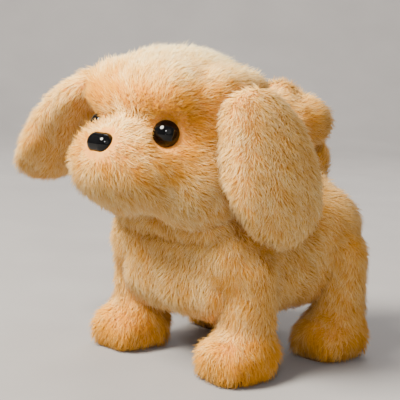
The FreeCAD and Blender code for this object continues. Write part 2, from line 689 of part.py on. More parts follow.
def head_cover(shell_solid, inserts):
    """Plush of the head: skull, muzzle, cheeks and the two ear corners."""
    lumps = [capsule(SKULL_C, SKULL_SIZE), capsule(MUZZLE_C, MUZZLE_SIZE), capsule(CHEEKS_C, CHEEKS_SIZE)]
    corner = capsule(EAR_CORNER_C, EAR_CORNER_SIZE, Vector(0, 1, 0))
    lumps += [place(corner) for place in SIDES.values()]
    cover = lumps[0].multiFuse(lumps[1:])
    neck = rod_x(NECK_BARREL_R, (-BIG, BIG), NECK_Y, NECK_Z)
    below = box((-BIG, BIG), (NECK_Y, BIG), (0.0, NECK_Z + 16))
    sockets = [place(ear_socket()) for place in SIDES.values()]
    return less(cover, [neck, below, shell_solid] + sockets + inserts)


def head_parts():
    front, rear, shell_solid = head_shell()
    parts = {
        "neck_yoke": neck_yoke(),
        "head_shell_front": front,
        "head_shell_rear": rear,
        "eye_left": eye(),
        "eye_right": on_right(eye()),
        "eye_washers": Part.Compound([eye_washer(), on_right(eye_washer())]),
        "nose": nose(),
        "nose_washer": nose_washer(),
        "head_screws": head_screws(),
        "ear_left": ear(LEFT_FLARE_DEG),
        "ear_right": on_right(ear(RIGHT_FLARE_DEG)),
    }
    screws = parts["head_screws"].Solids
    for half in ("head_shell_front", "head_shell_rear"):
        parts[half] = less(parts[half], screws)
    parts["neck_yoke"] = less(parts["neck_yoke"], screws)
    inserts = [parts["eye_left"], parts["eye_right"], parts["nose"], parts["nose_washer"]]
    inserts += parts["eye_washers"].Solids + screws
    parts["head_plush"] = head_cover(shell_solid, inserts)
    return parts


# ---------------------------------------------------------------- tail

def tail_parts():
    shaft = rod_z(TAIL_SHAFT_R, (TAIL_SHAFT_BOTTOM, TORSO_TOP + 1), 0, TAIL_SHAFT_Y)
    arm = box((0.0, TAIL_HEAD_X[1]), (TAIL_SHAFT_Y - TAIL_ARM_HALF, TAIL_SHAFT_Y + TAIL_ARM_HALF),
              TAIL_ARM_Z)
    head = box(TAIL_HEAD_X, (TAIL_SHAFT_Y - TAIL_HEAD_HALF, TAIL_SHAFT_Y + TAIL_HEAD_HALF), TAIL_ARM_Z)
    hub = rod_z(TAIL_HUB_R, TAIL_ARM_Z, 0, TAIL_SHAFT_Y)
    slot_z = (TAIL_ARM_Z[0] - 1, TAIL_ARM_Z[1] + 1)
    slot_x = (TAIL_ARM + TAIL_SLOT_X[0], TAIL_ARM + TAIL_SLOT_X[1])
    half = TAIL_PIN_R + LINK_CLEAR
    slot = joined([rod_z(half, slot_z, slot_x[0], TAIL_SHAFT_Y),
                   rod_z(half, slot_z, slot_x[1], TAIL_SHAFT_Y),
                   box(slot_x, (TAIL_SHAFT_Y - half, TAIL_SHAFT_Y + half), slot_z)])
    lever = on_right(less(joined([arm, head, hub]), [slot]))
    crank = joined([shaft, lever])
    core = rod_z(TAIL_CORE_R, (TORSO_TOP + 1, TAIL_CORE_TOP), 0, TAIL_SHAFT_Y)
    ring = Part.makeTorus(CURL_RING_R, CURL_TUBE_R, Vector(*CURL_C), Vector(1, 0, 0))
    base = capsule(TAIL_BASE_C, TAIL_BASE_SIZE, Vector(0, 1, 0))
    floor = box((-BIG, BIG), (-BIG, BIG), (0.0, TORSO_TOP + SOFT_GAP))
    plush = less(joined([ring, base]), [floor, core, shaft])
    return {"tail_crank": crank, "tail_core": core, "tail_plush": plush}


# ---------------------------------------------------------------- chassis and inner parts

def speaker_holes():
    holes = []
    for index in range(SPEAKER_HOLES):
        y, z = step_from(SPEAKER_C, SPEAKER_HOLE_RING_R, 360 * index / SPEAKER_HOLES)
        holes.append(rod_x(SPEAKER_HOLE_R, (-CHASSIS_X - 1, -CHASSIS_X + WALL + 1), y, z))
    return holes


def chassis_box():
    outer = box((-CHASSIS_X, CHASSIS_X), (-CHASSIS_Y, CHASSIS_Y), (CHASSIS_BOTTOM, CHASSIS_TOP))
    inner = box((-CHASSIS_X + WALL, CHASSIS_X - WALL), (-CHASSIS_Y + WALL, CHASSIS_Y - WALL),
                (CHASSIS_BOTTOM + WALL, CHASSIS_TOP - WALL))
    body = less(outer, [inner])
    trunnions = [place(rod_x(AXLE_R, (CHASSIS_X - WALL, TRUNNION_END), NECK_Y, NECK_Z))
                 for place in SIDES.values()]
    lugs = [box((-TAIL_LUG_HALF_X, TAIL_LUG_HALF_X), (CHASSIS_Y, CHASSIS_Y + TAIL_LUG_REACH), z)
            for z in TAIL_LUGS_Z]
    posts = [rod_x(SCREW_POST_R, (-CHASSIS_X + WALL, CHASSIS_X - WALL), y, z) for y, z in SCREW_PLACES]
    body = joined([body] + trunnions + lugs + posts)
    full = (-CHASSIS_X - 1, CHASSIS_X + 1)
    tools = [rod_x(AXLE_R, full, y, HIP_Z) for y in (-HIP_Y, HIP_Y)]
    tools.append(rod_x(CRANK_SHAFT_R + RUN, full, *CRANK_C))
    tools += [rod_x(GEAR_PIN_R, (CHASSIS_X - WALL - 1, CHASSIS_X + 1), *c) for c in (GEAR_A_C, GEAR_B_C)]
    tools.append(rod_z(TAIL_SHAFT_R + RUN, (TAIL_SHAFT_BOTTOM - 0.5, TORSO_TOP), 0, TAIL_SHAFT_Y))
    low = (CHASSIS_BOTTOM - 1, CHASSIS_BOTTOM + WALL + 1)
    tools.append(box((-BAY_BOX_X, BAY_BOX_X), BAY_BOX_Y, low))
    tools.append(box((-SWITCH_HALF_X, SWITCH_HALF_X), SWITCH_Y, low))
    tools += [rod_x(SCREW_R, (-CHASSIS_X - 1, CHASSIS_X - 6), y, z) for y, z in SCREW_PLACES]
    return less(body, tools + speaker_holes())


def chassis_parts():
    body = chassis_box()
    left = body.common(box((0, BIG), (-BIG, BIG), (0, BIG)))
    right = body.common(box((-BIG, 0), (-BIG, BIG), (0, BIG)))
    screws = []
    for y, z in SCREW_PLACES:
        shank = rod_x(SCREW_R, (-CHASSIS_X, CHASSIS_X - 6), y, z)
        head = rod_x(SCREW_HEAD_R, (-CHASSIS_X - 1.4, -CHASSIS_X), y, z)
        screws.append(joined([shank, head]))
    plate = box(GEAR_PLATE_X, (GEAR_PLATE_FRONT, CHASSIS_Y - WALL), (GEAR_PLATE_BOTTOM, CHASSIS_TOP - WALL))
    through = (GEAR_PLATE_X[0] - 1, GEAR_PLATE_X[1] + 1)
    holes = [rod_x(GEAR_PIN_R, through, *c) for c in (GEAR_A_C, GEAR_B_C)]
    holes.append(rod_x(CRANK_SHAFT_R + 0.4, through, *CRANK_C))
    holes.append(rod_x(MOTOR_HOLE_R, through, *MOTOR_C))
    holes.append(rod_x(AXLE_R, through, HIP_Y, HIP_Z))
    holes += [rod_x(SCREW_POST_R, through, y, z) for y, z in SCREW_PLACES]
    return {
        "chassis_left": left,
        "chassis_right": right,
        "chassis_screws": Part.Compound(screws),
        "gear_plate": less(plate, holes),
        "gear_a_pin": rod_x(GEAR_PIN_R, (GEAR_PLATE_X[0], CHASSIS_X), *GEAR_A_C),
        "gear_b_pin": rod_x(GEAR_PIN_R, (GEAR_PLATE_X[0], CHASSIS_X), *GEAR_B_C),
    }


def axle_parts():
    parts = {}
    caps = []
    for name, y in (("front_axle", -HIP_Y), ("rear_axle", HIP_Y)):
        parts[name] = rod_x(AXLE_R, (-AXLE_END, AXLE_END), y, HIP_Z)
        for place in SIDES.values():
            cap = rod_x(CAP_R, (LEG_PLATE_X[1] + 0.3, AXLE_END + 1.5), y, HIP_Z)
            caps.append(place(less(cap, [rod_x(AXLE_R, (0, AXLE_END), y, HIP_Z)])))
    parts["axle_caps"] = Part.Compound(caps)
    return parts


def motor_can():
    can = rod_x(MOTOR_CAN_R, MOTOR_CAN_X, *MOTOR_C)
    hollow = rod_x(MOTOR_CAN_R - 1, (MOTOR_CAN_X[0] + 2, MOTOR_CAN_X[1] - 2), *MOTOR_C)
    front = rod_x(MOTOR_SHAFT_R + RUN, (MOTOR_CAN_X[1] - 3, MOTOR_CAN_X[1] + 1), *MOTOR_C)
    return less(can, [hollow, front])


def battery_parts():
    outer = box((-BAY_BOX_X, BAY_BOX_X), BAY_BOX_Y, BAY_BOX_Z)
    front_wall = BAY_BOX_Y[0] + BOX_WALL
    room = box((-BAY_BOX_X + BOX_WALL, BAY_BOX_X - BOX_WALL), (front_wall, BAY_BOX_Y[1] - BOX_WALL),
               (BAY_BOX_Z[0] - 1, BAY_BOX_Z[1] - 1.4))
    screw_y = BAY_BOX_Y[0] + 5
    boss = box((-4, 4), (BAY_BOX_Y[0], screw_y + 4), (BAY_BOX_Z[0], BAY_BOX_Z[0] + 3.8))
    boss_hole = rod_z(DOOR_SCREW_R + RUN, (BAY_BOX_Z[0] - 1, BAY_BOX_Z[0] + 3.4), 0, screw_y)
    parts = {"battery_box": less(joined([less(outer, [room]), boss]), [boss_hole])}
    cell_y = (CELL_FRONT, CELL_FRONT + CELL_LENGTH)
    for side, place in SIDES.items():
        can = rod_y(CELL_R, (cell_y[0], cell_y[1] - CELL_STEP), CELL_X, CELL_Z)
        tip = rod_y(CELL_TIP_R, (cell_y[1] - CELL_STEP, cell_y[1]), CELL_X, CELL_Z)
        cell = joined([can, tip])
        if side == "right":
            cell.rotate(Vector(CELL_X, sum(cell_y) / 2, CELL_Z), Vector(0, 0, 1), 180)
        parts["battery_" + side] = place(cell)
    front = box((-14, 14), (front_wall, front_wall + 0.6), CONTACT_Z)
    springs = [place(Part.makeCone(4.5, 3.0, CELL_FRONT - front_wall - 0.6,
                                   Vector(CELL_X, front_wall + 0.6, CELL_Z), Vector(0, 1, 0)))
               for place in SIDES.values()]
    parts["contact_front"] = joined([front] + springs)
    tabs = [place(box((2.5, 13.0), (cell_y[1] + 1.4, cell_y[1] + 2.2), CONTACT_Z))
            for place in SIDES.values()]
    bumps = [place(rod_y(2.5, (cell_y[1], cell_y[1] + 1.5), CELL_X, CELL_Z)) for place in SIDES.values()]
    parts["contact_rear"] = Part.Compound([joined([tabs[i], bumps[i]]) for i in range(2)])
    door = box((-BAY_BOX_X - 1, BAY_BOX_X + 1), (BAY_BOX_Y[0] - 1, BAY_BOX_Y[1] + 1), DOOR_Z)
    door = door.makeFillet(3.0, edges_along(door, Vector(0, 0, 1)))
    hole = joined([rod_z(DOOR_SCREW_R, (DOOR_Z[0] - 1, DOOR_Z[1] + 1), 0, screw_y),
                   rod_z(DOOR_SCREW_HEAD_R, (DOOR_Z[0] - 1, DOOR_Z[0] + 1.1), 0, screw_y)])
    parts["battery_door"] = less(door, [hole])
    parts["door_screw"] = joined([rod_z(DOOR_SCREW_R, (DOOR_Z[0] + 1, DOOR_Z[1] + 3), 0, screw_y),
                                  rod_z(DOOR_SCREW_HEAD_R, (DOOR_Z[0] + 0.2, DOOR_Z[0] + 1.1), 0, screw_y)])
    return parts


def switch_parts():
    housing = box((-SWITCH_HALF_X, SWITCH_HALF_X), SWITCH_Y, SWITCH_Z)
    knob_y = (KNOB_START_Y, KNOB_START_Y + KNOB_LENGTH)
    pocket = box((-3.2, 3.2), (knob_y[0] - 1, knob_y[1] + SWITCH_TRAVEL + 1), (SWITCH_Z[0] - 1, 47.0))
    knob = joined([box((-3.1, 3.1), knob_y, (42.6, 46.8)), box((-2.2, 2.2), knob_y, (37.4, 42.6))])
    return {"switch_housing": less(housing, [pocket]), "switch_knob": knob}


def electronics():
    board = box((-12.0, -10.4), (-36.0, 4.0), (64.0, 100.0))
    chips = [box((-10.4, -8.6), (-26.0, -14.0), (74.0, 84.0)), box((-10.4, -9.2), (-6.0, 0.0), (86.0, 92.0))]
    speaker = joined([rod_x(SPEAKER_R, (-22.0, -19.6), *SPEAKER_C), rod_x(8.0, (-19.6, -15.6), *SPEAKER_C)])
    return {"circuit_board": Part.Compound([board] + chips), "speaker": speaker}


def main():
    parts = {}
    for group in (torso_covers, leg_parts, bar_parts, crank_parts, gear_parts, chassis_parts,
                  axle_parts, battery_parts, switch_parts, electronics, head_parts, tail_parts):
        parts.update(group())
    parts["motor_can"] = motor_can()
    os.makedirs("parts", exist_ok=True)
    for name, shape in sorted(parts.items()):
        shape.exportStep("parts/" + name + ".step")


main()
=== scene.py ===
import json
import math
from itertools import product

import bpy
import numpy as np
from mathutils import Matrix, Vector


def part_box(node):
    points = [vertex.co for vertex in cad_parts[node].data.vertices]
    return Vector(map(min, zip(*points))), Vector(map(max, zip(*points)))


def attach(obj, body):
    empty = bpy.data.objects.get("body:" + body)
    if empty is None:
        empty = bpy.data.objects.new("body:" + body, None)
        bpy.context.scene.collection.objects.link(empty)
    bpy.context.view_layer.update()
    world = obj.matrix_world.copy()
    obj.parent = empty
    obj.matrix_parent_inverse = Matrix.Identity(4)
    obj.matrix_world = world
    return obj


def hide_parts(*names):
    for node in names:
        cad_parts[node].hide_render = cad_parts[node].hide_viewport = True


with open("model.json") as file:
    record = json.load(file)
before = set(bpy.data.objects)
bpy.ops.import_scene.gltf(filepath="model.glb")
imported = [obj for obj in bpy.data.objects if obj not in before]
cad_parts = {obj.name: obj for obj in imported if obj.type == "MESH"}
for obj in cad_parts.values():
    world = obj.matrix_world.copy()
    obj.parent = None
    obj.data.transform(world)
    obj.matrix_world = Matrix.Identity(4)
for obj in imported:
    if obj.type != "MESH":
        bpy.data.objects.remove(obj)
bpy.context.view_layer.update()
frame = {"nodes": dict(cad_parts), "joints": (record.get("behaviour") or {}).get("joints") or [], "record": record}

# The plush is worked out in millimetres; lights, floor and camera are in metres.
MM = 0.001
SIDES = {"left": 1.0, "right": -1.0}
ENDS = {"front": -1.0, "rear": 1.0}


def pivot(name):
    """Place of a joint of the frame, in millimetres."""
    place = next(joint["pos_m"] for joint in frame["joints"] if joint["name"] == name)
    return np.round(np.array(place) / MM, 3)


HIP_Y, HIP_Z = pivot("rear_left_swing")[1:]
EAR_ROOT = pivot("left_ear_flap")
LEG_X = round(sum(corner[0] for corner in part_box("leg_sole_front_left")) / 2 / MM, 3)

# Places that the CAD also uses: the left eye's middle and the way it faces, and the nose's middle.
EYE_C = np.array((28.5, -94.5, 144.0))
EYE_DIRECTION = np.array((0.667, -0.740, 0.087))
NOSE_C = np.array((0.0, -116.0, 136.5))
EYE_CLEAR, NOSE_CLEAR = 7.9, 8.6      # bare skin round the eyes and the nose


# ---------------------------------------------------------------- numbers and fields

def unit(v):
    return v / np.maximum(np.linalg.norm(v, axis=-1, keepdims=True), 1e-9)


def dot(a, b):
    return (a * b).sum(-1, keepdims=True)


def rise(value, start, end):
    """0 at the start and before it, 1 at the end and past it."""
    return np.clip((value - start) / (end - start), 0, 1)


def hump(p, centre, radii):
    """1 at the centre, fading to 0 over the radii."""
    return np.exp(-(((p - np.array(centre)) / np.array(radii)) ** 2).sum(-1))


def waves(p, length, seed):
    """Smooth pattern in about -1 to 1 that varies over the given length."""
    rng = np.random.default_rng(seed)
    total = 0.0
    for _ in range(5):
        k = unit(rng.normal(size=3)) * 2 * math.pi / (length * rng.uniform(0.7, 1.5))
        total = total + np.sin(p @ k + rng.uniform(0, 2 * math.pi))
    return total / 2.6


def turn(axis, degrees):
    return np.array(Matrix.Rotation(math.radians(degrees), 3, axis))


def ball(centre, radii, spin=None):
    """Ellipsoid; spin is an optional 3x3 matrix of its own axes."""
    centre = np.array(centre, float)
    radii = np.array(radii, float) * np.ones(3)

    def field(p):
        q = p - centre
        if spin is not None:
            q = q @ spin
        k0 = np.linalg.norm(q / radii, axis=-1)
        k1 = np.linalg.norm(q / radii ** 2, axis=-1)
        return k0 * (k0 - 1) / np.maximum(k1, 1e-6)
    return field


def limb(start, end, r_start, r_end):
    """Round-ended cone between two points."""
    start, end = np.array(start, float), np.array(end, float)
    span = end - start

    def field(p):
        t = np.clip((p - start) @ span / (span @ span), 0, 1)
        near = start + t[..., None] * span
        return np.linalg.norm(p - near, axis=-1) - (r_start + (r_end - r_start) * t)
    return field


def brick(centre, half, corner):
    """Box with rounded corners; half counts the rounding in."""
    centre, half = np.array(centre, float), np.array(half, float)

    def field(p):
        q = np.abs(p - centre) - (half - corner)
        outside = np.linalg.norm(np.maximum(q, 0), axis=-1)
        return outside + np.minimum(q.max(-1), 0) - corner
    return field


def melt(fields, soft):
    """Union of fields, blended over a width."""
    def field(p):
        total = fields[0](p)
        for other in fields[1:]:
            b = other(p)
            h = np.clip(0.5 + 0.5 * (b - total) / soft, 0, 1)
            total = b * (1 - h) + total * h - soft * h * (1 - h)
        return total
    return field


def carve(base, tool, soft):
    """Base with the tool's shape taken out."""
    def field(p):
        a, b = base(p), -tool(p)
        h = np.clip(0.5 - 0.5 * (b - a) / soft, 0, 1)
        return b * (1 - h) + a * h + soft * h * (1 - h)
    return field


def slope(field, p, step=0.4):
    parts = [field(p + step * axis) - field(p - step * axis) for axis in np.eye(3)]
    return np.stack(parts, -1) / (2 * step)


def onto_surface(field, p):
    """One step from each point to the field's zero surface."""
    g = slope(field, p)
    return p - g * (field(p) / np.maximum((g * g).sum(-1), 1e-3))[:, None]


def skin(field, low, high, step):
    """Vertices and outward quads of a field's zero surface."""
    axes = [np.arange(a, b + step, step) for a, b in zip(low, high)]
    grid = np.stack(np.meshgrid(*axes, indexing="ij"), -1)
    values = field(grid.reshape(-1, 3)).reshape(grid.shape[:3])
    inside = values < 0
    cells = np.array(inside.shape) - 1
    corners_inside = np.zeros(cells, int)
    for i, j, k in product((0, 1), repeat=3):
        corners_inside += inside[i:i + cells[0], j:j + cells[1], k:k + cells[2]]
    active = (corners_inside > 0) & (corners_inside < 8)
    index = np.full(cells, -1)
    index[active] = np.arange(active.sum())
    start = np.array(low) + (np.argwhere(active) + 0.5) * step
    verts = start.copy()
    furthest = 0.9 * step
    for _ in range(5):
        verts = start + np.clip(onto_surface(field, verts) - start, -furthest, furthest)
    quads = []
    for axis in range(3):
        u, v = (axis + 1) % 3, (axis + 2) % 3
        a = np.moveaxis(inside, (axis, u, v), (0, 1, 2))
        cell = np.moveaxis(index, (axis, u, v), (0, 1, 2))
        change = a[:-1, 1:-1, 1:-1] != a[1:, 1:-1, 1:-1]
        leaving = a[:-1, 1:-1, 1:-1][change]
        ring = [cell[:, :-1, :-1], cell[:, 1:, :-1], cell[:, 1:, 1:], cell[:, :-1, 1:]]
        faces = np.stack([part[change] for part in ring], -1)
        faces[~leaving] = faces[~leaving][:, ::-1]
        quads.append(faces)
    return verts, np.concatenate(quads)


# ---------------------------------------------------------------- meshes

def mesh_object(name, verts, faces):
    """Smooth object from vertices in mm and an array of equal-sided faces."""
    mesh = bpy.data.meshes.new(name)
    count, sides = faces.shape
    mesh.vertices.add(len(verts))
    mesh.vertices.foreach_set("co", (np.asarray(verts) * MM).ravel())
    mesh.loops.add(count * sides)
    mesh.loops.foreach_set("vertex_index", faces.ravel().astype(np.int32))
    mesh.polygons.add(count)
    mesh.polygons.foreach_set("loop_start", np.arange(0, count * sides, sides, dtype=np.int32))
    mesh.update(calc_edges=True)
    mesh.polygons.foreach_set("use_smooth", np.full(count, True))
    mesh.update()
    obj = bpy.data.objects.new(name, mesh)
    bpy.context.scene.collection.objects.link(obj)
    return obj


def roots_on(field, verts, quads, count, rng, where=None):
    """Random points spread evenly over a skin, and their outward normals."""
    a, b, c, d = (verts[quads[:, i]] for i in range(4))
    tris = np.concatenate([np.stack([a, b, c], 1), np.stack([a, c, d], 1)])
    area = np.linalg.norm(np.cross(tris[:, 1] - tris[:, 0], tris[:, 2] - tris[:, 0]), axis=-1)
    middle = tris.mean(1)
    weight = area * (where(middle) if where else 1.0)
    # Even spacing along the running total of area keeps clumps and bald spots away.
    order = np.lexsort((middle[:, 0] // 6, middle[:, 1] // 6, middle[:, 2] // 6))
    running = np.cumsum(weight[order])
    marks = (np.arange(count) + rng.uniform(0, 1, count)) / count * running[-1]
    pick = order[np.minimum(np.searchsorted(running, marks), len(order) - 1)]
    u, v = rng.uniform(0, 1, (2, count))
    flip = u + v > 1
    u[flip], v[flip] = 1 - u[flip], 1 - v[flip]
    t = tris[pick]
    points = t[:, 0] + u[:, None] * (t[:, 1] - t[:, 0]) + v[:, None] * (t[:, 2] - t[:, 0])
    points = onto_surface(field, points)
    return points, unit(slope(field, points))


# ---------------------------------------------------------------- fur

PILE_LENGTH, EAR_PILE_LENGTH = 7.5, 7.0
LENGTH_WAVE, LENGTH_SPREAD = 0.13, (0.72, 1.22)      # shares of the length
PILE_WIDTH, WIDTH_SPREAD = 0.42, (0.75, 1.2)
LEAN = (42, 68)                     # degrees from the normal, of a strand's lower and upper half
LEAN_WAVE, LEAN_NOISE = 5.0, 9.0    # degrees
SWAY_WAVE, SWAY_NOISE = 0.55, 0.33  # sideways turn of the combing, as a slope
ROOT_DEPTH = 0.9                    # how far under the skin a strand starts
CORNERS = 3                         # a strand's section is a triangle
RING_SIZES = (0.5, 0.42)            # at the root and at half length, in shares of the width
SURFACE_SHARE = 0.7                 # how far a strand is shaded like the skin under it

# The material reads the fur's UV as a palette: u is the tone, v runs from root to tip.
FUR_UV = "OFBake"
PLAIN_TONE = 0.36                   # 0 is the deepest gold of the pile, 1 the palest
TONE_WAVES = ((0.10, 24.0, 14), (0.12, 9.0, 12))     # strength, length and seed
TONE_NOISE = 0.13
ROOT_LEVEL, MIDDLE_LEVEL, TIP_LEVEL = 0.02, 0.55, 0.98


def strands(points, normals, flow, rng, length, trim):
    """Corners of closed tapering strands, combed along the flow: two rings and a tip each."""
    n = len(points)
    flow = flow - normals * dot(flow, normals)
    side = unit(np.cross(normals, flow))
    flow = np.cross(side, normals)
    sway = SWAY_WAVE * waves(points, 17.0, 11) + rng.normal(0, SWAY_NOISE, n)
    comb = unit(flow + side * sway[:, None])
    tilt = LEAN_WAVE * waves(points, 9.0, 12) + rng.normal(0, LEAN_NOISE, n)
    long = length * (1 + LENGTH_WAVE * waves(points, 14.0, 13)) * rng.uniform(*LENGTH_SPREAD, n)
    low = np.radians(np.clip(LEAN[0] + tilt, 0, 85))[:, None]
    high = np.radians(np.clip(LEAN[1] + tilt, 0, 100))[:, None]
    first = normals * np.cos(low) + comb * np.sin(low)
    second = normals * np.cos(high) + comb * np.sin(high)
    if trim is not None:
        long = long * trim(points)
    half = long[:, None] / 2
    base = points - normals * ROOT_DEPTH
    middle = base + first * half
    tip = middle + second * half
    wide = (PILE_WIDTH * rng.uniform(*WIDTH_SPREAD, n))[:, None]
    across = unit(np.cross(first, normals + 0.01 * side))
    up = np.cross(first, across)
    verts = []
    for centre, size in zip((base, middle), RING_SIZES):
        for k in range(CORNERS):
            angle = 2 * math.pi * k / CORNERS + 0.4
            verts.append(centre + wide * size * (across * math.cos(angle) + up * math.sin(angle)))
    verts.append(tip)
    return np.stack(verts, 1)


def strand_faces():
    """Triangles of one strand: its closed root, its sides and its point."""
    faces = [(0, 2, 1)]
    for k in range(CORNERS):
        m = (k + 1) % CORNERS
        faces += [(k, m, CORNERS + m), (k, CORNERS + m, CORNERS + k), (CORNERS + k, CORNERS + m, 2 * CORNERS)]
    return np.array(faces)


def shade_like_skin(obj, verts, normals):
    """Normals between the skin's and the strand's own, so that the pile is lit softly."""
    root, middle = verts[:, :CORNERS].mean(1), verts[:, CORNERS:2 * CORNERS].mean(1)
    spokes = unit(verts - (root * 0.5 + middle * 0.5)[:, None])
    soft = unit(normals[:, None] * SURFACE_SHARE + spokes * (1 - SURFACE_SHARE))
    obj.data.normals_split_custom_set_from_vertices(soft.reshape(-1, 3))


def paint(obj, tones, pattern):
    """Palette place of every corner: one tone a strand, and its level from root to tip."""
    level = np.array([ROOT_LEVEL] * CORNERS + [MIDDLE_LEVEL] * CORNERS + [TIP_LEVEL])[pattern]
    uv = np.empty((len(tones), len(pattern), 3, 2), np.float32)
    uv[..., 0] = tones[:, None, None]
    uv[..., 1] = level
    layer = obj.data.uv_layers.new(name=FUR_UV)
    layer.data.foreach_set("uv", uv.ravel())


def fur(name, points, normals, flow, rng, length=PILE_LENGTH, shade=None, floor=None, trim=None):
    """Object of strands. Shade gives the tone and trim the share of the length at each point."""
    n = len(points)
    verts = strands(points, normals, flow, rng, length, trim)
    if floor is not None:
        verts[..., 2] = np.maximum(verts[..., 2], floor)
    pattern = strand_faces()
    faces = pattern[None] + verts.shape[1] * np.arange(n)[:, None, None]
    obj = mesh_object(name, verts.reshape(-1, 3), faces.reshape(-1, 3))
    shade_like_skin(obj, verts, normals)
    tone = PLAIN_TONE if shade is None else shade(points)
    for strength, reach, seed in TONE_WAVES:
        tone = tone + strength * waves(points, reach, seed)
    paint(obj, np.clip(tone + rng.normal(0, TONE_NOISE, n), 0.01, 0.99), pattern)
    obj.data.materials.append(FUR)
    return obj


# ---------------------------------------------------------------- materials

# Strand colours from root to tip, of the deepest and of the palest fur.
DEEP_GOLD = ((178, 98, 6), (213, 134, 8), (231, 162, 14))
PALE_GOLD = ((236, 164, 62), (255, 211, 116), (255, 243, 206))


def linear(rgb):
    """Scene-linear colour of a screen colour in 0 to 255."""
    shares = [v / 255 for v in rgb]
    return (*(c / 12.92 if c <= 0.04045 else ((c + 0.055) / 1.055) ** 2.4 for c in shares), 1.0)


def new_material(name):
    mat = bpy.data.materials.new(name)
    mat.use_nodes = True
    return mat, mat.node_tree.nodes, mat.node_tree.links, mat.node_tree.nodes["Principled BSDF"]


def ramp(nodes, stops):
    node = nodes.new("ShaderNodeValToRGB")
    elements = node.color_ramp.elements
    while len(elements) < len(stops):
        elements.new(0.5)
    for element, (place, rgb) in zip(elements, stops):
        element.position = place
        element.color = linear(rgb)
    return node


def fur_material():
    """Root-to-tip colours, mixed between deep and pale gold by the strand's tone."""
    mat, nodes, links, shader = new_material("plush_fur")
    uv = nodes.new("ShaderNodeUVMap")
    uv.uv_map = FUR_UV
    split = nodes.new("ShaderNodeSeparateXYZ")
    links.new(uv.outputs[0], split.inputs[0])
    deep, pale = (ramp(nodes, list(zip((0.0, 0.5, 1.0), colours))) for colours in (DEEP_GOLD, PALE_GOLD))
    for node in (deep, pale):
        links.new(split.outputs[1], node.inputs[0])
    mix = nodes.new("ShaderNodeMix")
    mix.data_type = "RGBA"
    links.new(split.outputs[0], mix.inputs[0])
    links.new(deep.outputs[0], mix.inputs[6])
    links.new(pale.outputs[0], mix.inputs[7])
    links.new(mix.outputs[2], shader.inputs["Base Color"])
    shader.inputs["Roughness"].default_value = 0.75
    shader.inputs["Specular IOR Level"].default_value = 0.15
    shader.inputs["Sheen Weight"].default_value = 0.06
    shader.inputs["Sheen Roughness"].default_value = 0.5
    shader.inputs["Sheen Tint"].default_value = (1.0, 0.86, 0.66, 1.0)
    return mat


def mottled(name, low, high, scale, roughness, bump, metallic=0.0, specular=0.5):
    """Colour, roughness and bump that vary with a noise."""
    mat, nodes, links, shader = new_material(name)
    coords = nodes.new("ShaderNodeTexCoord")
    noise = nodes.new("ShaderNodeTexNoise")
    noise.inputs["Scale"].default_value = scale
    noise.inputs["Detail"].default_value = 6.0
    links.new(coords.outputs["Object"], noise.inputs["Vector"])
    colour = ramp(nodes, [(0.3, low), (0.7, high)])
    links.new(noise.outputs[0], colour.inputs[0])
    links.new(colour.outputs[0], shader.inputs["Base Color"])
    rough = nodes.new("ShaderNodeMapRange")
    rough.inputs["To Min"].default_value = roughness * 0.85
    rough.inputs["To Max"].default_value = min(1.0, roughness * 1.15)
    links.new(noise.outputs[0], rough.inputs["Value"])
    links.new(rough.outputs[0], shader.inputs["Roughness"])
    lift = nodes.new("ShaderNodeBump")
    lift.inputs["Strength"].default_value = bump
    lift.inputs["Distance"].default_value = 0.0004
    links.new(noise.outputs[0], lift.inputs["Height"])
    links.new(lift.outputs[0], shader.inputs["Normal"])
    shader.inputs["Metallic"].default_value = metallic
    shader.inputs["Specular IOR Level"].default_value = specular
    return mat


FUR = fur_material()
BACKING = mottled("plush_backing", (204, 128, 44), (228, 160, 76), 260.0, 0.95, 0.6)
NODE_LOOKS = {
    "sole": mottled("sole_rubber", (104, 78, 52), (132, 102, 70), 900.0, 0.8, 0.4),
    "white_plastic": mottled("moulded_plastic", (214, 212, 204), (228, 226, 218), 600.0, 0.5, 0.08),
    "gear_plastic": mottled("gear_nylon", (226, 220, 202), (238, 233, 218), 700.0, 0.42, 0.06),
    "black_gloss": mottled("gloss_black", (2, 2, 3), (5, 5, 6), 240.0, 0.06, 0.01, specular=0.28),
    "clear_washer": mottled("washer_plastic", (200, 198, 190), (214, 212, 204), 800.0, 0.4, 0.05),
    "steel": mottled("drawn_steel", (168, 168, 170), (188, 188, 190), 900.0, 0.32, 0.1, metallic=1.0),
    "battery_wrap": mottled("cell_wrap", (24, 44, 40), (34, 58, 52), 300.0, 0.3, 0.04),
    "circuit": mottled("board_green", (14, 74, 34), (22, 92, 44), 500.0, 0.5, 0.15),
    "speaker_black": mottled("speaker_black", (16, 16, 17), (26, 26, 27), 900.0, 0.7, 0.2),
    "contact": mottled("contact_brass", (188, 158, 92), (206, 176, 108), 700.0, 0.3, 0.08, metallic=1.0),
}


def dress_nodes():
    """Each CAD node's look, by its material slot."""
    slots = {part["node"]: part["material_slot"] for part in frame["record"]["subparts"]}
    for name, obj in frame["nodes"].items():
        mat = NODE_LOOKS.get(slots.get(name))
        if mat:
            obj.data.materials.clear()
            obj.data.materials.append(mat)


# ---------------------------------------------------------------- shapes of the plush

# Openings for the battery box with its door, and for the switch: middle and half-size.
BELLY_OPENINGS = (((0, -15.2, 45), (18.8, 31.2, 18.5)), ((0, 29, 42), (8, 8.8, 10)))


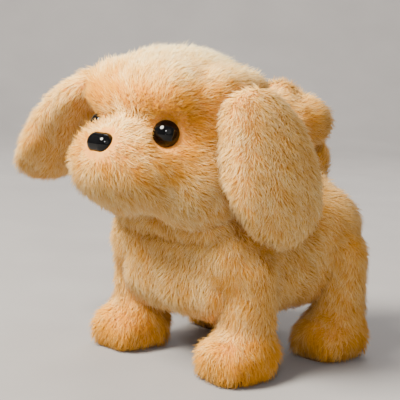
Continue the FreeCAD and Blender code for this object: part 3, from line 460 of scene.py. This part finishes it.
def torso_field():
    body = brick((0, 2, 66), (50, 60, 32), 25)
    chest = brick((0, -30, 62), (44, 31, 28), 18)
    rump = ball((0, 24, 79), (46, 34, 32))
    back = brick((0, 2, 90), (33, 58, 21), 14)
    shoulders = limb((-22, -36, 104), (22, -36, 104), 26, 26)
    seat = brick((0, 40, 66), (37, 26, 13), 8)
    thighs = [ball((s * 36, 40, 81), (17, 26, 22)) for s in SIDES.values()]
    elbows = [ball((s * 36, -40, 82), (17, 22, 22)) for s in SIDES.values()]
    ruff = limb((-30, -55, 93), (30, -55, 93), 14, 14)
    torso = melt([body, chest, rump, back, shoulders, seat, *thighs, *elbows], 10.0)
    torso = melt([torso, ruff], 3.0)
    for middle, half in BELLY_OPENINGS:
        torso = carve(torso, brick(middle, half, 1.0), 1.0)
    return torso


def head_field():
    skull = ball((0, -56, 147), (51, 42, 39))
    muzzle = ball((0, -92, 124.5), (37, 30, 25.5))
    cheeks = [ball((s * 27, -66, 117), (25, 29, 25)) for s in SIDES.values()]
    corners = [limb((s * 42, -70, 168), (s * 42, -46, 168), 9, 9) for s in SIDES.values()]
    crown = ball((0, -62, 162), (43, 34, 24))
    brow = limb((-22, -84, 163), (22, -84, 163), 17, 17)
    bridge = limb((0, -86, 141), (0, -106, 134), 14, 9)
    head = melt([skull, crown, *cheeks, *corners], 10.0)
    head = melt([head, brow], 8.0)
    # The jaw is joined last and sharply, which leaves a crease under the brow.
    jaw = melt([muzzle, *cheeks], 12.0)
    head = melt([head, jaw, bridge], 4.0)
    for sign in SIDES.values():
        socket = ball((EYE_C + EYE_DIRECTION * 8.0) * (sign, 1, 1), 11.6)
        head = carve(head, socket, 2.0)
    return head


def leg_field(x, y, side):
    """Leg over the paw's middle at x, y."""
    hip = ball((x - 6 * side, y, HIP_Z - 11), (14, 20, 23.5))
    column = limb((x - 1 * side, y + 4, HIP_Z - 22), (x, y + 5, 24), 15, 14)
    paw = ball((x, y - 1, 16), (17, 21, 13))
    foot = brick((x, y - 3, 10), (15, 18, 7), 5.5)
    return melt([hip, column, paw, foot], 8.0)


# An ear's pad at its root, middle and tip: distance from the pivot, flare in degrees, shift to the
# back, and its three radii. The right ear flares out more.
EARS = {
    "left": ((17, 24, 0, 7.0, 19, 14), (37, 21, 2, 9.0, 27, 26), (58, 20, 5, 9.5, 31, 29)),
    "right": ((19, 58, 0, 7.0, 20, 15), (42, 54, 2, 9.0, 29, 28), (73, 47, 5, 9.5, 34, 29)),
}


def ear_field(side):
    """Drop-shaped pad hanging from its root: flat lumps along an arching line."""
    root = EAR_ROOT * (SIDES[side], 1, 1)
    places = np.arange(0, 2.1, 0.5)
    rows = np.column_stack([np.interp(places, (0, 1, 2), row) for row in np.transpose(EARS[side])])
    lumps = []
    for along, flare, sweep, *radii in rows:
        spin = turn("Y", -flare * SIDES[side])
        lumps.append(ball(root + spin @ np.array((0, sweep, -along)), radii, spin))
    return melt(lumps, 10.0)


# The curled tail from its root to its end.
TAIL_LINE = np.array([(0, 56, 99), (-2, 64, 119), (-6, 62, 138), (-7, 50, 153), (-4, 36, 158),
                      (3, 28, 152), (8, 34, 146), (9, 45, 146), (9, 53, 145)], float)
TAIL_RADII = (15, 13, 11, 11, 11, 11.5, 13.5, 14.5, 12)


def tail_field():
    runs = zip(TAIL_LINE, TAIL_LINE[1:], TAIL_RADII, TAIL_RADII[1:])
    return melt([limb(*run) for run in runs], 4.0)


# ---------------------------------------------------------------- how the fur lies, and its tone

def from_eye(p):
    """Distance from the nearer eye's axis, and the direction straight away from it."""
    q = np.abs(p) * (1, 0, 0) + p * (0, 1, 1) - EYE_C
    aside = q - (q @ EYE_DIRECTION)[:, None] * EYE_DIRECTION
    far = np.where(q @ EYE_DIRECTION < -16, 99.0, np.linalg.norm(aside, axis=-1))
    return far, unit(aside) * np.where(p[:, :1] < 0, (-1, 1, 1), (1, 1, 1))


def from_nose(p):
    """Distance from the nose's axis, weighted for its oval outline."""
    q = p - NOSE_C
    return np.where(q[:, 1] > 14, 99.0, np.linalg.norm(q * (0.8, 0, 1.15), axis=-1))


def torso_flow(p):
    """Body fur lies down and backward."""
    return np.array((0.0, 0.55, -0.85)) + 0.0 * p


def torso_where(p):
    """No roots in the belly's openings."""
    closed = np.ones(len(p))
    for middle, half in BELLY_OPENINGS:
        closed *= (np.abs(p - np.array(middle)) > np.array(half) + 1.5).any(-1)
    return closed


def torso_tone_with_painted_light(p):
    """Paler chest, as painted light in its shade."""
    return PLAIN_TONE + 0.14 * rise(p[:, 1], -35, -55)


def head_flow(p):
    """Head fur runs from the nose outward, down the cheeks, and away from the eyes."""
    away = unit(p - NOSE_C)
    down = np.array((0.0, 0.1, -0.5)) * rise(p[:, 2:3], 150, 120)
    eye, from_it = from_eye(p)
    return away + down + 2.2 * from_it * np.exp(-((eye - EYE_CLEAR) / 3.0) ** 2)[:, None]


def head_where(p):
    """No roots under the eyes and the nose."""
    return ((from_eye(p)[0] > EYE_CLEAR) & (from_nose(p) > NOSE_CLEAR)).astype(float)


def head_trim(p):
    """Short pile beside the eyes and the nose."""
    eye = np.clip(0.45 + (from_eye(p)[0] - EYE_CLEAR) / 12, 0, 1)
    nose = np.clip(0.5 + (from_nose(p) - NOSE_CLEAR) / 16, 0, 1)
    return np.minimum(eye, nose)


def head_tone_with_painted_light(p):
    """Deep gold, deepest under the brow as painted shade; bridge, crown and jaw paler as painted light, and a
    paler back, with fine tufts.
    """
    y, z = p[:, 1], p[:, 2]
    # Painted light: a paler bridge, over the deep gold base tone.
    tone = 0.15 + 0.78 * hump(p, (0, -104, 147), (17, 24, 11))
    # Painted light: the crown is paler on top, where the light falls from above.
    tone += 0.85 * rise(z, 166, 188) * rise(y, 5, -50)
    # Painted light: the jaw and the lower cheeks are paler, lifting their shade.
    tone += 0.44 * rise(z, 132, 114)
    tone += 0.2 * rise(y, -72, -47) + 0.15 * waves(p, 5.5, 15)
    # Painted shade: deeper gold under the brow's overhang.
    return tone - 0.4 * hump(p, (0, -94, 157), (40, 18, 10))


def limb_flow(p):
    """Legs' and ears' fur hangs down, a little forward."""
    return np.array((0.0, -0.15, -1.0)) + 0.0 * p


def leg_tone_with_painted_shade(p):
    """Deeper colour at the paws, as painted shade low by the floor."""
    return PLAIN_TONE - 0.26 * rise(p[:, 2], 36, 22)


def ear_shade(p):
    """Paler than the body."""
    return np.full(len(p), 0.48)


def tail_flow(p):
    """Tail fur runs from its root to its end."""
    gaps = np.linalg.norm(p[:, None] - TAIL_LINE[None, :-1], axis=-1)
    nearest = np.argmin(gaps, axis=1)
    return TAIL_LINE[nearest + 1] - TAIL_LINE[nearest]


# ---------------------------------------------------------------- the plush

def plush(name, body, covers, field, region, step, count, seed, flow,
          pieces=1, fill=0.8, where=None, **looks):
    """Skin that rides on a body in place of the covers, with count strands of fur in several pieces."""
    verts, quads = skin(field, *region, step)
    base = mesh_object(f"{name}_skin", verts, quads)
    base.data.materials.append(BACKING)
    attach(base, body)
    rng = np.random.default_rng(seed)
    count //= 1
    points, normals = roots_on(field, verts, quads, count, rng, where)
    order = rng.permutation(count)
    for k in range(pieces):
        pick = order[k::pieces]
        p, n = points[pick], normals[pick]
        pile = fur(f"{name}_skin_pile_{k + 1}", p, n, flow(p), rng, **looks)
        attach(pile, body)
    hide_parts(*covers)


def build_torso():
    region = ((-70, -75, 30), (70, 85, 140))
    plush("torso", "torso", ("back_plush", "belly_plush"), torso_field(), region, 3.0,
          56000, 1, torso_flow, pieces=3, where=torso_where, shade=torso_tone_with_painted_light)


def build_head():
    region = ((-70, -135, 80), (70, 5, 205))
    plush("head", "head", ("head_plush",), head_field(), region, 2.5,
          56000, 2, head_flow, pieces=3, where=head_where, trim=head_trim, shade=head_tone_with_painted_light)


def build_leg(end, side):
    name = f"leg_{end}_{side}"
    x, y = LEG_X * SIDES[side], HIP_Y * ENDS[end]
    region = ((x - 34, y - 40, 2), (x + 34, y + 40, 125))
    plush(name, name, (f"leg_plush_{end}_{side}",), leg_field(x, y, SIDES[side]), region, 2.5,
          15000, 3, limb_flow, floor=0.4, shade=leg_tone_with_painted_shade)


def build_ear(side):
    name = f"ear_{side}"
    root = EAR_ROOT * (SIDES[side], 1, 1)
    tip = root + (SIDES[side] * 80, 0, -95)
    region = (np.minimum(root, tip) - (15, 40, 0), np.maximum(root, tip) + (15, 40, 15))
    plush(name, name, (name,), ear_field(side), region, 2.2,
          15000, 4, limb_flow, fill=0.5, length=EAR_PILE_LENGTH, shade=ear_shade)


def build_tail():
    region = ((-30, 5, 90), (34, 92, 182))
    plush("tail", "tail", ("tail_plush",), tail_field(), region, 2.2, 9000, 5, tail_flow)


# ---------------------------------------------------------------- camera, floor and light

CAMERA_AZIMUTH, CAMERA_ELEVATION, CAMERA_ROLL = 44.0, 8.5, 3.0      # degrees
CAMERA_DISTANCE = 0.70
CAMERA_TARGET = Vector((0.0, -0.0315, 0.098))
CAMERA_SHIFT = (-0.0125, 0.0035)

FLOOR_REACH = 5.0                        # toward the camera and to each side
COVE_START, COVE_RADIUS = 1.3, 0.6       # the floor curves up into a wall behind the object
WALL_TOP = 2.8

# Name, place, aim, width, watts and colour.
LIGHTS = (
    ("key", (-0.15, -1.25, 1.45), (0, -0.03, 0.1), 0.8, 140.0, (1.0, 0.945, 0.82)),
    ("fill", (1.3, -0.7, 0.7), (0, 0, 0.1), 1.2, 3.0, (1.0, 0.97, 0.94)),
    ("catch", (0.95, -1.1, 0.85), (0, -0.1, 0.14), 0.2, 8.0, (1.0, 1.0, 1.0)),
    ("backdrop", (-0.35, 0.36, 1.6), (-1.31, 1.37, 0.8), 0.8, 26.0, (1.0, 0.97, 0.94)),
    ("rim", (-0.5, 0.9, 1.0), (0, 0, 0.1), 0.8, 8.0, (1.0, 0.97, 0.93)),
)
WORLD_COLOUR, WORLD_STRENGTH = (1.0, 0.97, 0.93, 1.0), 0.36


def add_camera():
    data = bpy.data.cameras.new("camera")
    data.sensor_width = 36.0
    data.lens = 103.5
    data.shift_x, data.shift_y = CAMERA_SHIFT
    data.clip_start = 0.01
    cam = bpy.data.objects.new("camera", data)
    bpy.context.scene.collection.objects.link(cam)
    a, e = math.radians(CAMERA_AZIMUTH), math.radians(CAMERA_ELEVATION)
    away = Vector((math.sin(a) * math.cos(e), -math.cos(a) * math.cos(e), math.sin(e)))
    cam.location = CAMERA_TARGET + away * CAMERA_DISTANCE
    aim = (-away).to_track_quat("-Z", "Y").to_matrix()
    roll = Matrix.Rotation(math.radians(CAMERA_ROLL), 3, "Z")
    cam.rotation_euler = (aim @ roll).to_euler()
    bpy.context.scene.camera = cam


def add_stage():
    profile = [(-FLOOR_REACH, 0.0), (COVE_START, 0.0)]
    for a in np.radians(np.arange(6, 91, 6)):
        profile.append((COVE_START + COVE_RADIUS * math.sin(a), COVE_RADIUS - COVE_RADIUS * math.cos(a)))
    profile.append((COVE_START + COVE_RADIUS, WALL_TOP))
    turn_to_view = turn("Z", CAMERA_AZIMUTH)
    verts = [turn_to_view @ np.array((x, y, z)) for x in (-FLOOR_REACH, FLOOR_REACH) for y, z in profile]
    n = len(profile)
    faces = np.array([(i, n + i, n + i + 1, i + 1) for i in range(n - 1)])
    floor = mesh_object("floor", np.array(verts) / MM, faces)
    floor.data.materials.append(mottled("studio_paper", (139, 136, 136), (145, 142, 142), 12.0, 0.95, 0.02))


def add_lights():
    for name, place, aim, size, power, colour in LIGHTS:
        data = bpy.data.lights.new(name, "AREA")
        data.shape = "DISK"
        data.size = size
        data.energy = power
        data.color = colour
        light = bpy.data.objects.new(name, data)
        light.location = place
        light.rotation_euler = (Vector(aim) - Vector(place)).to_track_quat("-Z", "Y").to_euler()
        bpy.context.scene.collection.objects.link(light)
    world = bpy.data.worlds.new("studio")
    world.use_nodes = True
    background = world.node_tree.nodes["Background"]
    background.inputs["Color"].default_value = WORLD_COLOUR
    background.inputs["Strength"].default_value = WORLD_STRENGTH
    bpy.context.scene.world = world


dress_nodes()
build_torso()
build_head()
for end_name, side_name in product(ENDS, SIDES):
    build_leg(end_name, side_name)
for side_name in SIDES:
    build_ear(side_name)
build_tail()
add_camera()
add_stage()
add_lights()
